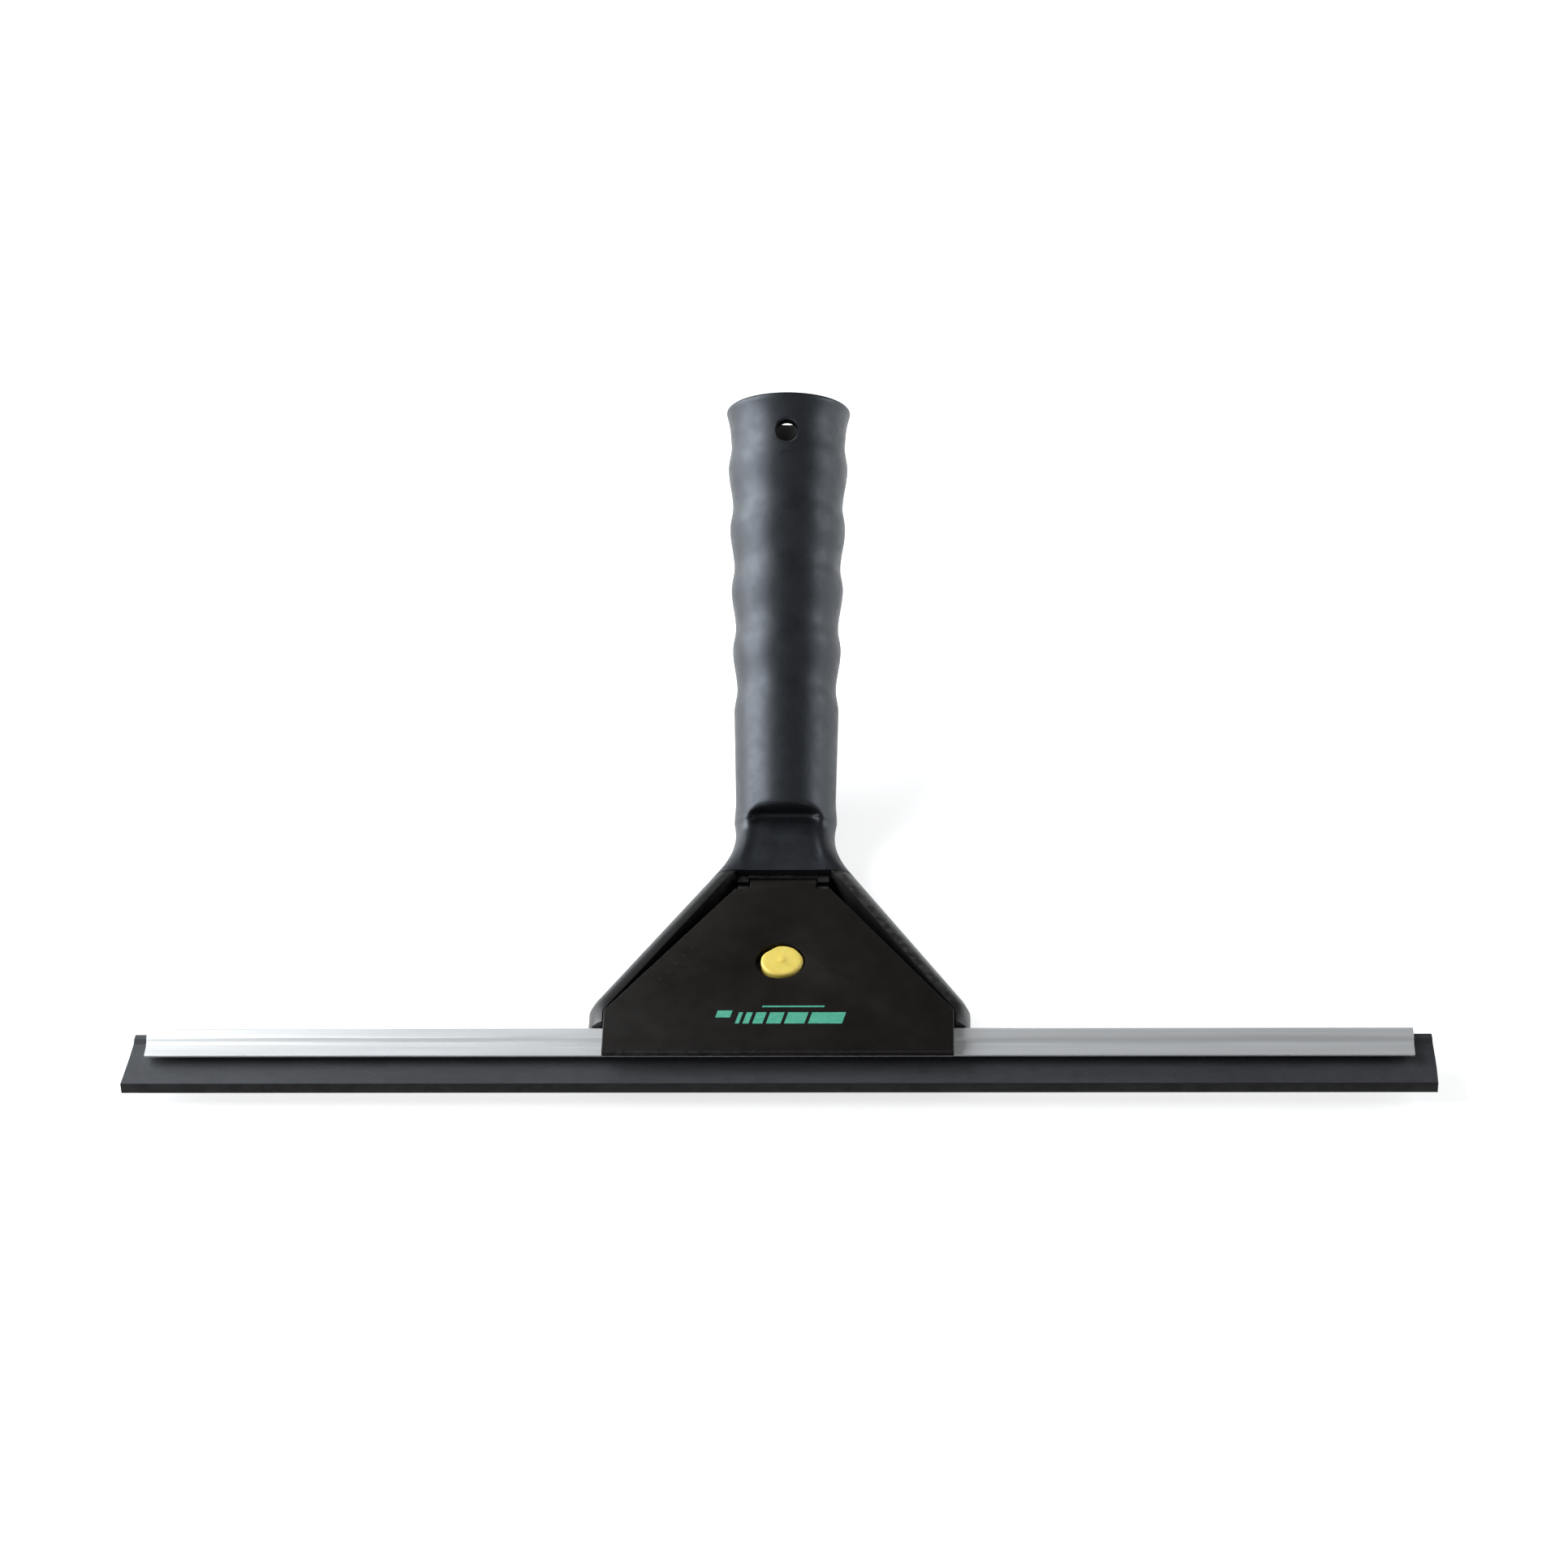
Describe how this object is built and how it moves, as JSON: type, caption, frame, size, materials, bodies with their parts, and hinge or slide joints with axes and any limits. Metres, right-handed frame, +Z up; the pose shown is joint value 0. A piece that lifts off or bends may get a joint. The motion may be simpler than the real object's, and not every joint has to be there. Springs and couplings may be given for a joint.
{
  "type": "window squeegee",
  "caption": "Window cleaning squeegee: hollow finger-wave handle, spring-button clamp head, aluminium channel and a rubber wiping blade.",
  "frame": {"origin": "on the surface the squeegee lies on, at the middle of its bounding box", "axes": "+X along the channel to the right, +Y from the blade towards the handle, +Z up out of the front of the head"},
  "size_m": [0.362, 0.2214, 0.0872],
  "materials": {
    "hard_plastic": "satin black moulded ABS with a faint sheen",
    "soft_grip": "fine-textured matte soft-touch black with a cool grey sheen",
    "yellow_plastic": "satin yellow moulded plastic",
    "steel": "bright zinc-plated steel",
    "spring_steel": "bright spring steel",
    "aluminium": "satin anodised extrusion with fine lengthwise die lines",
    "blade_rubber": "matte natural rubber, dark grey with a dusty bloom",
    "pad_rubber": "matte black rubber"
  },
  "bodies": {
    "handle": {"handle_core": "hard_plastic", "grip_sleeve": "soft_grip", "hinge_pin": "steel", "flap_spring": "spring_steel", "button_spring": "spring_steel", "back_cover": "hard_plastic", "cover_screw_1": "steel", "cover_screw_2": "steel", "cover_screw_3": "steel", "cover_screw_4": "steel", "jaw_pad_left": "pad_rubber", "jaw_pad_right": "pad_rubber"},
    "flap": {"clamp_flap": "hard_plastic"},
    "button": {"release_button": "yellow_plastic"},
    "channel": {"channel": "aluminium"},
    "blade": {"rubber_blade": "blade_rubber"}
  },
  "joints": [
    {"name": "flap_hinge", "type": "hinge", "parent": "handle", "child": "flap", "pos_m": [0, -0.03384, 0.0092], "axis": [-1, 0, 0], "range_deg": [0, 30]},
    {"name": "button_press", "type": "slide", "parent": "handle", "child": "button", "axis": [0, 0, -1], "range_m": [0, 0.0025], "stiffness_N_per_m": 500, "springref_m": -0.003, "deforming": ["button_spring"]},
    {"name": "channel_slide", "type": "slide", "parent": "handle", "child": "channel", "axis": [1, 0, 0], "range_m": [-0.12, 0.12]},
    {"name": "blade_slide", "type": "slide", "parent": "channel", "child": "blade", "axis": [1, 0, 0], "range_m": [-0.1, 0.1]}
  ]
}
